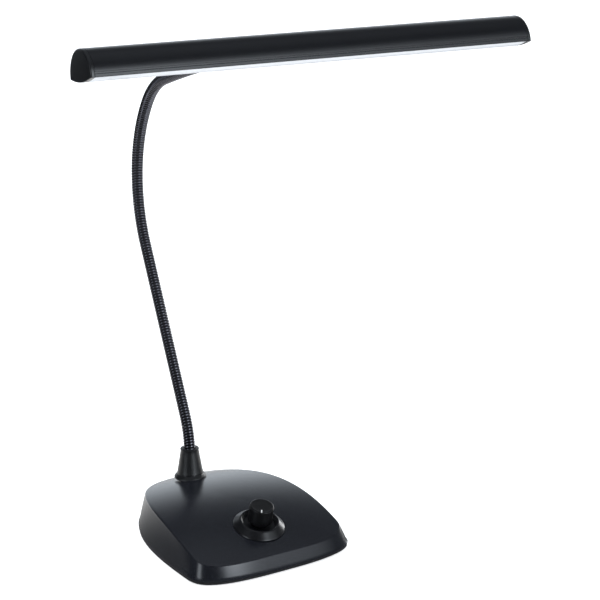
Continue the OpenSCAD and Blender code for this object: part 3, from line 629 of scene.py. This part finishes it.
# %% [markdown]
# ## Collar
# The collar is a shallow cone around a stepped funnel, and the knob stands in the funnel. It is a
# turned form, so one profile says everything: small roundings on every edge, since a moulding has
# no knife edges and these roundings carry the highlights.

# %% Collar
knob_place = at_mm(0, KNOB_Y, KNOB_Z, "X", KNOB_TILT)
collar = turned("knob_collar_cone", [
    (4.7, -0.9), (20.2, -0.9), (20.7, -0.5), (20.9, 0.1), (20.75, 0.55), (20.3, 0.95), (18.3, 2.75),
    (16.6, 4.4), (15.95, 5.0), (15.5, 5.27), (15.05, 5.28), (14.75, 5.12), (14.6, 4.8), (14.45, 4.1),
    (14.1, 3.95), (13.95, 3.7), (13.8, 2.9), (13.45, 2.75), (13.3, 2.5), (13.1, 1.6), (12.7, 1.05),
    (12.2, 1.0), (4.7, 1.0)], 128)
put(collar, knob_place)
smooth(collar, 32)
dress(collar, collar_abs, "base", ["knob_collar"])

# %% [markdown]
# ## Knob and pointer
# The knob is a hollow cap on the dimmer's shaft, and again one profile turned about its axis. Its
# side is drawn in by a quarter of a millimetre, which a mould needs to let go of it. The pointer is
# a printed line on top: a thin bevelled bar, because a texture would need the knob unwrapped.

# %% Knob
POINTER_ANGLE = math.radians(-33)
dial_place = knob_place @ Matrix.Rotation(POINTER_ANGLE, 4, "Z")
knob = turned("knob_cap", [
    (3.1, 5.4), (5.2, 5.4), (5.2, 12.8), (8.1, 12.8), (8.1, 5.4), (9.6, 5.3), (9.95, 5.45),
    (10.08, 5.8), (9.9, 9.0), (9.8, 14.0), (9.82, 17.9), (9.74, 18.4), (9.55, 18.82), (9.2, 19.12),
    (8.75, 19.28), (8.3, 19.3), (8.1, 19.22), (7.9, 19.2), (6.0, 19.2), (3.5, 19.2), (0.02, 19.2),
    (0.02, 15.4), (3.1, 15.2)], 128)
put(knob, dial_place)
smooth(knob, 32)
dress(knob, knob_abs, "dial", ["knob"])

# %% Pointer
rest_mode()
bpy.ops.mesh.primitive_cube_add(size=1)
pointer = bpy.context.object
pointer.name = "pointer_line"
pointer.scale = (0.9*MM, 3.6*MM, 0.24*MM)
bpy.ops.object.transform_apply(scale=True)
apply(pointer, "BEVEL", width=0.07*MM, segments=2)
put(pointer, dial_place @ at_mm(0, -7.75, 19.26))
smooth(pointer)
dress(pointer, ink, "dial", ["knob_pointer"])

# %% [markdown]
# ## Boot of the gooseneck
# The boot is a slim cone of nylon on a round flange. It has a small lip at the top, a groove where
# the cone meets the flange, and a flange that dips to a thin rounded rim.

# %% Boot
boot = turned("neck_boot_cone", [
    (5.3, 25.8), (5.6, 26.0), (7.1, 26.0), (7.6, 25.85), (7.9, 25.5), (7.95, 25.0), (7.8, 24.5),
    (7.75, 24.0), (8.1, 21.5), (8.75, 17.5), (9.5, 13.0), (10.2, 8.6), (10.75, 5.6), (10.95, 4.9),
    (11.05, 4.4), (11.0, 4.05), (11.05, 3.8), (11.4, 3.45), (12.1, 2.8), (12.9, 2.0), (13.35, 1.4),
    (13.5, 0.9), (13.45, 0.3), (13.2, 0.05), (8.7, 0.0), (8.7, 2.2), (7.2, 12.0), (5.3, 22.0)], 128)
put(boot, at_mm(0, BOOT_Y, SEAT_Z))
smooth(boot, 32)
dress(boot, boot_nylon, "base", ["neck_boot"])

# %% [markdown]
# ## Route of the gooseneck
# The neck leaves the boot upright, leans back, runs straight, and turns over in a long bend and a
# tighter one before it reaches forward to the head. Seven plain pieces, each straight or a circular
# arc, give that route. One curve through it carries the winding and the spring, and the lead is
# laid along the same route.

# %% Route
# Length in millimetres and bend in degrees of each piece, from 8 mm under the boot's seat
ROUTE = [(29, 0), (math.radians(24.5)*80, 24.5), (147, 0), (math.radians(59.5)*125, -59.5),
         (math.radians(37)*60, -37), (175, -8.5), (90, 0)]
ROOT_Z = SEAT_Z - 8
PIVOT_Y, HEAD_TURN = -49.43, math.radians(-4.9)


def route(s):
    """Place (y, z) in millimetres and lean in degrees at the distance s along the neck."""
    y, z, lean = BOOT_Y, ROOT_Z, 0.0
    for length, bend in ROUTE:
        d = min(s, length)
        a, b = math.radians(lean), math.radians(lean + bend*d/length)
        if abs(b - a) < 1e-7:
            y, z = y + d*math.sin(a), z + d*math.cos(a)
        else:
            radius = d/(b - a)
            y, z = y + radius*(math.cos(a) - math.cos(b)), z + radius*(math.sin(b) - math.sin(a))
        lean += bend*d/length
        s -= d
        if s <= 0:
            break
    return y, z, lean


def swung():
    """The few degrees about the upright by which the head is turned, from the last bend on."""
    there = Matrix.Translation((0, PIVOT_Y*MM, 0))
    return there @ Matrix.Rotation(HEAD_TURN, 4, "Z") @ there.inverted()


def in_plane(x, y, z):
    """A point of the neck's plane in millimetres, turned with the head where it lies beyond the
    last bend."""
    point = Vector((x, y, z))*MM
    return swung() @ point if y < PIVOT_Y else point


def on_route(s):
    """The place at the distance s along the neck, in metres."""
    return in_plane(0, *route(s)[:2])


STATION = 0.8  # millimetres between the curve's points
path_curve = bpy.data.curves.new("neck_route", "CURVE")
path_curve.dimensions = "3D"
spline = path_curve.splines.new("POLY")
stations = [i*STATION for i in range(int(580/STATION))]
spline.points.add(len(stations) - 1)
for point, s in zip(spline.points, stations):
    point.co = (*on_route(s), 1)
route_line = bpy.data.objects.new("neck_route", path_curve)
bpy.context.collection.objects.link(route_line)
NECK_END = 553.8
print("route ends at", [round(v, 2) for v in route(NECK_END)])

# %% [markdown]
# ## Winding of the gooseneck
# A gooseneck is a round spring with a wedge-shaped wire wound tightly into its gaps: the wedges
# grip, so the neck stays where it is bent. One wire section is drawn, swept round the axis with
# the Screw modifier at the pitch measured in the photograph, 2.36 mm, and bent onto the route with
# the Curve modifier. It is made in six lengths, because each length crosses one of the six places
# where the neck bends.

# %% Wire helper
WIND_PITCH, WIND_FROM = 2.355, 1.0
TURNS = [0, 34, 81, 132, 170, 205, 234]        # where each length begins and ends, in turns
BENDS = [41, 122, 264.7, 359.4, 443.5, 522.3]  # along the neck, in millimetres


def wound(name, section, turns, from_turn, steps):
    """A wire of that section, (along, radius) in millimetres, wound for some turns onto the route."""
    rest_mode()
    bpy.ops.mesh.primitive_circle_add(vertices=len(section), radius=1, fill_type="NOTHING",
                                      rotation=(math.pi/2, 0, 0))
    wire = bpy.context.object
    wire.name = name
    bpy.ops.object.transform_apply(rotation=True)
    start = WIND_FROM + WIND_PITCH*(from_turn + 0.5)
    for vertex, (along, radius) in zip(wire.data.vertices, section):
        vertex.co = Vector((radius, 0, start + along))*MM
    apply(wire, "SCREW", axis="Z", angle=2*math.pi, screw_offset=WIND_PITCH*MM, iterations=turns,
          steps=steps, render_steps=steps, use_normal_calculate=True, use_smooth_shade=True)
    only(wire)
    bpy.ops.object.mode_set(mode="EDIT")
    bpy.ops.mesh.select_all(action="SELECT")
    bpy.ops.mesh.fill_holes(sides=0)
    bpy.ops.mesh.select_all(action="SELECT")
    bpy.ops.mesh.normals_make_consistent(inside=False)
    rest_mode()
    return apply(wire, "CURVE", object=route_line, deform_axis="POS_Z")


def bend_over(piece, k):
    """Bakes a piece's place into its mesh. The route around bend k, shorter before the first for the boot,
    is looked up but not used.
    """
    before, after = (6 if k == 0 else 25), 25
    on_route(BENDS[k] - before)
    on_route(BENDS[k] + after)
    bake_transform(piece)


wedge = [(-1.14, 4.3), (-0.9, 4.68), (-0.5, 4.92), (0, 5.0), (0.5, 4.92), (0.9, 4.68), (1.14, 4.3),
         (1.06, 3.75), (0.43, 3.4), (-0.43, 3.4), (-1.06, 3.75)]
WIRE_R, SPRING_R = 0.64, 2.6
round_wire = [(WIRE_R*math.sin(math.pi*i/4), SPRING_R + WIRE_R*math.cos(math.pi*i/4)) for i in range(8)]
print("length wound", round(WIND_PITCH*TURNS[-1], 1), "mm in", TURNS[-1], "turns")

# %% Six lengths of winding and spring
for k in range(6):
    count = TURNS[k + 1] - TURNS[k]
    nodes = [f"neck_section_{k + 1}"] + (["neck_section_7"] if k == 5 else [])
    winding = wound(f"neck_winding_{k + 1}", wedge, count, TURNS[k], 32)
    dress(winding, wire_chrome, None, nodes)
    bend_over(winding, k)
    spring = wound(f"neck_spring_{k + 1}", round_wire, count, TURNS[k] - 0.5, 16)
    dress(spring, coil_steel, None, ["neck_core"])
    bend_over(spring, k)

# %% [markdown]
# ## Lead inside the gooseneck
# A thin round lead runs from the driver board up through the spring and into the head. It is laid as rings
# along its path, in six lengths like the wire around it.

# %% Lead
def swept(name, points, radius, count=16):
    """A round solid along points (y, z) in the neck's plane, in millimetres."""
    rings = []
    for i, (y, z) in enumerate(points):
        a, b = points[max(i - 1, 0)], points[min(i + 1, len(points) - 1)]
        length = math.dist(a, b)
        ty, tz = (b[0] - a[0])/length, (b[1] - a[1])/length
        ring = []
        for j in range(count):
            u, v = radius*math.cos(2*math.pi*j/count), radius*math.sin(2*math.pi*j/count)
            ring.append(Vector((u, y + v*tz, z - v*ty))*MM)
        rings.append([swung() @ p for p in ring] if y < PIVOT_Y else ring)
    return grow(name, rings)


HEAD_R, HEAD_TILT, LOWER_EDGE = 19.2, 9.5, -0.6
STEM_RISE = HEAD_R - 11.6
WALL_V = math.sqrt(HEAD_R**2 - STEM_RISE**2)
tip_y, tip_z, tip_lean = route(NECK_END)
cos_t, sin_t = math.cos(math.radians(HEAD_TILT)), math.sin(math.radians(HEAD_TILT))
HALF_FERRULE, BARE_STEM = 10, 31
reach = HALF_FERRULE + BARE_STEM + WALL_V
HEAD_Y = tip_y - reach*cos_t - STEM_RISE*sin_t
HEAD_Z = tip_z + reach*sin_t - STEM_RISE*cos_t
print("middle of the head", round(HEAD_Y, 2), round(HEAD_Z, 2))


def head_point(v, w):
    """Place (y, z) in the neck's plane of a point v behind and w over the middle of the profile."""
    return (HEAD_Y + v*cos_t + w*sin_t, HEAD_Z - v*sin_t + w*cos_t)


# From the driver board up into the spring, and from the stem down to the LED board
inlet = [(BOOT_Y - 25.7, 14.6), (BOOT_Y - 21.2, 14.5), (BOOT_Y - 16.2, 13.0),
         (BOOT_Y - 11.2, ROOT_Z - 9.8), (BOOT_Y - 6.7, ROOT_Z - 11.9), (BOOT_Y - 2.8, ROOT_Z - 12),
         (BOOT_Y - 0.6, ROOT_Z - 9.8), (BOOT_Y, ROOT_Z - 6.5)]
BOARD_W = 4.2 + LOWER_EDGE - 1.2
drop = STEM_RISE - BOARD_W - 0.5
outlet = [head_point(v, STEM_RISE - share*drop)
          for v, share in ((13, 0), (8, 0.09), (4.5, 0.34), (3, 0.7), (2.6, 1))]
LEAD_R, LEAD_STEP = 2.0, 3
for k in range(6):
    s0 = WIND_FROM + WIND_PITCH*TURNS[k] if k else 0
    s1 = WIND_FROM + WIND_PITCH*TURNS[k + 1] if k < 5 else NECK_END + 42
    steps = round((s1 - s0)/LEAD_STEP)
    points = [route(s0 + (s1 - s0)*i/steps)[:2] for i in range(steps + 1)]
    points = (inlet if k == 0 else []) + points + (outlet if k == 5 else [])
    lead = swept(f"lead_{k + 1}", points, LEAD_R)
    smooth(lead, 60)
    dress(lead, pvc, None, ["lead"])
    bend_over(lead, k)

# %% [markdown]
# ## Ferrule and stem
# The neck ends in a turned ferrule, and a thin stem goes on from it through the back of the head. A
# collar on the stem is cut to the curve of the housing, so it sits on it without a gap.

# %% Ferrule
tip_place = swung() @ at_mm(0, tip_y, tip_z, "X", -math.radians(tip_lean))
ferrule = turned("upper_ferrule_turned", [
    (5.15, -10), (5.55, -10), (5.9, -9.75), (6.15, -9.4), (6.2, -9.0), (6.2, -6.6), (5.95, -6.4),
    (5.95, -6.0), (6.2, -5.8), (6.2, 5.8), (5.95, 6.0), (5.95, 6.4), (6.2, 6.6), (6.2, 9.0),
    (6.1, 9.45), (5.7, 9.85), (5.3, 10), (3.55, 10), (3.55, 1.6), (2.3, 1.6), (2.3, 0), (5.15, 0)], 96)
put(ferrule, tip_place)
smooth(ferrule, 32)
dress(ferrule, ferrule_coat, "head", ["upper_ferrule"])

# %% Stem and its collar
head_place = swung() @ at_mm(0, HEAD_Y, HEAD_Z, "X", -math.radians(HEAD_TILT))
stem_place = head_place @ at_mm(0, 0, STEM_RISE, "X", -math.pi/2)
inner_end = HEAD_R - 1.6 - 5.8 - 3 - 0.2  # inside the wall, past the bracket and the nut
stem = turned("stem_tube", [
    (2.3, inner_end), (3.3, inner_end), (3.5, inner_end + 0.3), (3.5, WALL_V + 38.8),
    (3.3, WALL_V + 39.15), (2.3, WALL_V + 39.2)], 64)
put(stem, stem_place)
smooth(stem, 32)
dress(stem, ferrule_coat, "head", ["head_stem"])
stem_collar = turned("stem_collar", [
    (3.5, WALL_V - 6), (6.5, WALL_V - 6), (6.5, WALL_V + 2.2), (6.35, WALL_V + 2.65), (6.0, WALL_V + 2.95),
    (5.6, WALL_V + 3), (3.5, WALL_V + 3)], 96)
put(stem_collar, stem_place)
cut(stem_collar, "saddle", HEAD_R + 0.05, 60, head_place @ at_mm(-30, 0, 0, "Y", math.pi/2))
smooth(stem_collar, 32)
dress(stem_collar, ferrule_coat, "head", ["head_stem"])

# %% [markdown]
# ## Head
# The housing is one aluminium extrusion: a half-round roof, a fine groove along both lower edges, a
# ledge that holds the carrier and a lip that holds the diffuser. Its section is drawn once in
# millimetres and extruded along X. The small roundings beside the groove matter, because in the
# photograph they draw the two thin light lines that run the length of the head.

# %% Head section
WALL = 1.6
INNER = HEAD_R - WALL
HALF_LENGTH = 169


def arc(radius, start, stop, count):
    """Points (back, up) on a circle around the middle of the profile, between two angles in degrees."""
    angles = [math.radians(start + (stop - start)*i/count) for i in range(count + 1)]
    return [(radius*math.cos(a), radius*math.sin(a)) for a in angles]


def at_height(radius, w):
    """Distance behind the middle at which a circle reaches the height w."""
    return math.sqrt(radius*radius - w*w)


def along_x(name, section, stops):
    """Extrudes a section of (back, up) points along X through stops of (x, size of the section)."""
    rings = [[Vector((x, v*size, w*size))*MM for v, w in section] for x, size in stops]
    piece = grow(name, rings)
    return put(piece, head_place)


def mirrored(points):
    """The same points on the other side, in the opposite order."""
    return [(-v, w) for v, w in reversed(points)]


# Outside of the back half, from the lower edge up to where the roof begins
edge = [(HEAD_R - 0.25, LOWER_EDGE), (HEAD_R - 0.07, LOWER_EDGE + 0.08), (HEAD_R, LOWER_EDGE + 0.27),
        (HEAD_R, 0), (at_height(HEAD_R, 1.3), 1.3), (at_height(HEAD_R, 1.62), 1.62),
        (at_height(HEAD_R, 1.82) - 0.1, 1.82), (HEAD_R - 0.8, 1.92), (HEAD_R - 0.8, 2.88),
        (at_height(HEAD_R, 3.0) - 0.12, 2.98), (at_height(HEAD_R, 3.2) - 0.02, 3.16),
        (at_height(HEAD_R, 3.5), 3.5)]
start = math.degrees(math.asin(3.5/HEAD_R))
roof = arc(HEAD_R, start, 180 - start, 72)[1:-1]
# Inside: lip, wall, ledge and the round ceiling
lip = [(INNER - 1, LOWER_EDGE), (INNER - 1, LOWER_EDGE + 1.1), (at_height(INNER, 0.6), LOWER_EDGE + 1.1)]
ledge = [(at_height(INNER, 3.6), 3.6), (INNER - 2, 3.6), (INNER - 2, 4.6), (at_height(INNER, 4.6), 4.6)]
top = math.degrees(math.asin(4.6/INNER))
shoulder = lip + arc(INNER, 3, 10, 3) + ledge
ceiling = arc(INNER, top, 180 - top, 48)[1:-1]
section = edge + roof + mirrored(edge) + [(-v, w) for v, w in shoulder]
section += ceiling[::-1] + shoulder[::-1]
print("points in the section", len(section))

# %% Housing
stops = [(-HALF_LENGTH, 0.992), (-HALF_LENGTH + 0.2, 1)] + [(x, 1) for x in range(-140, 141, 20)]
stops += [(HALF_LENGTH - 0.2, 1), (HALF_LENGTH, 0.992)]
housing = along_x("housing_extrusion", section, stops)
cut(housing, "stem hole", 3.65, 40, stem_place)
SCREW_ANGLE = 27  # over the level, seen from the side
hole = head_place @ Matrix.Rotation(math.radians(SCREW_ANGLE - 90), 4, "X")
for x in (-14, 14):
    cut(housing, "screw hole", 1.4, 40, hole @ at_mm(x, 0, 0))
    cut(housing, "screw seat", 2.45, 20, hole @ at_mm(x, 0, HEAD_R - 1.2))
smooth(housing, 30)
dress(housing, powder_coat, "head", ["head_housing"])

# %% [markdown]
# ## End caps
# Each end is closed by a moulded plate that follows the section, with a plug that grips inside the
# housing. The plate is the outline extruded along X and drawn in a little at its last stops, which
# rounds its edge. A bevel would do the same, but it would also round the inner edge.

# %% End caps
BOW_DEPTH = 2.6


def bow(half, depth, base, count=24):
    """The bowed underside as points from back to front."""
    line = [half*math.cos(math.pi*i/count) for i in range(count + 1)]
    return [(v, base - depth*(1 - (v/half)**2)) for v in line]


cap_section = arc(HEAD_R, 0, 180, 72) + bow(HEAD_R, BOW_DEPTH, LOWER_EDGE)[::-1]
cap_stops = [(169, 0.985), (169.12, 0.995), (169.3, 1), (170.7, 1), (171.15, 0.997), (171.5, 0.988),
             (171.75, 0.974), (171.92, 0.957), (172, 0.937)]
plug_low = 4.2 + LOWER_EDGE + 1.4
plug_out, plug_in = INNER - 0.15, INNER - 3
a_out = math.degrees(math.asin(plug_low/plug_out))
a_in = math.degrees(math.asin(plug_low/plug_in))
plug_section = arc(plug_out, a_out, 180 - a_out, 48) + arc(plug_in, 180 - a_in, a_in, 40)
for side, name in ((-1, "end_cap_left"), (1, "end_cap_right")):
    cap = along_x(name + "_plate", cap_section, [(side*x, size) for x, size in cap_stops])
    plug = along_x("plug", plug_section, [(side*165, 1), (side*169.6, 1)])
    apply(cap, "BOOLEAN", operation="UNION", object=plug, solver="EXACT")
    bpy.data.objects.remove(plug)
    smooth(cap, 28)
    dress(cap, cap_abs, "head", [name])

# %% [markdown]
# ## Diffuser
# The diffuser is a bowed strip of opal acrylic that slides into the housing on two thin flanges. It
# is an extrusion like the housing, so it grows along X from its own section in the same way.

# %% Diffuser
bow_half, bow_inner = INNER - 1.2, INNER - 2.6
flange, flange_w = INNER - 0.25, LOWER_EDGE + 1.15
under = bow(bow_half, BOW_DEPTH, LOWER_EDGE)
inner_face = bow(bow_inner, BOW_DEPTH - 0.1, LOWER_EDGE + 1.4)
opal_section = [(flange, flange_w + 0.9), (flange, flange_w), (bow_half, flange_w)] + under
opal_section += [(-bow_half, flange_w), (-flange, flange_w), (-flange, flange_w + 0.9)]
opal_section += [(-bow_inner, flange_w + 0.9)] + inner_face[::-1] + [(bow_inner, flange_w + 0.9)]
stops = [(-168.8, 1)] + [(x, 1) for x in range(-150, 151, 30)] + [(168.8, 1)]
diffuser = along_x("diffuser_bowed", opal_section, stops)
smooth(diffuser, 40)
dress(diffuser, opal, "head", ["diffuser"])

# %% [markdown]
# ## Parts that are carried over
# Everything inside, and the flat parts under the base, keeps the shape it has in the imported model.
# Each of them gets the finish of its own material.

# %% Finishes on the carried-over parts
finish_of = {
    "base_plate": plate_steel, "foot_pad": foam, "base_screws": zinc, "ballast_slab": iron,
    "ballast_screws": zinc, "dimmer_body": steel_can, "dimmer_nut": black_steel,
    "dimmer_shaft": black_steel, "driver_board": board, "driver_parts": board_plastic,
    "board_posts": brass, "board_screws": zinc, "power_jack": jack_nylon, "jack_nut": zinc,
    "jack_pin": brass, "lower_ferrule": zinc, "neck_washer": zinc, "neck_nut": zinc,
    "stem_nut": zinc, "head_bracket": aluminium, "bracket_screws": plate_steel,
    "led_carrier": aluminium, "led_board": strip_white, "leds": phosphor}
for name, material in finish_of.items():
    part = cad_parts[name].data
    part.materials.clear()
    part.materials.append(material)
bpy.data.objects.remove(route_line)
bpy.data.curves.remove(path_curve)
print("carried over", len(finish_of), "of", len(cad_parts), "nodes")
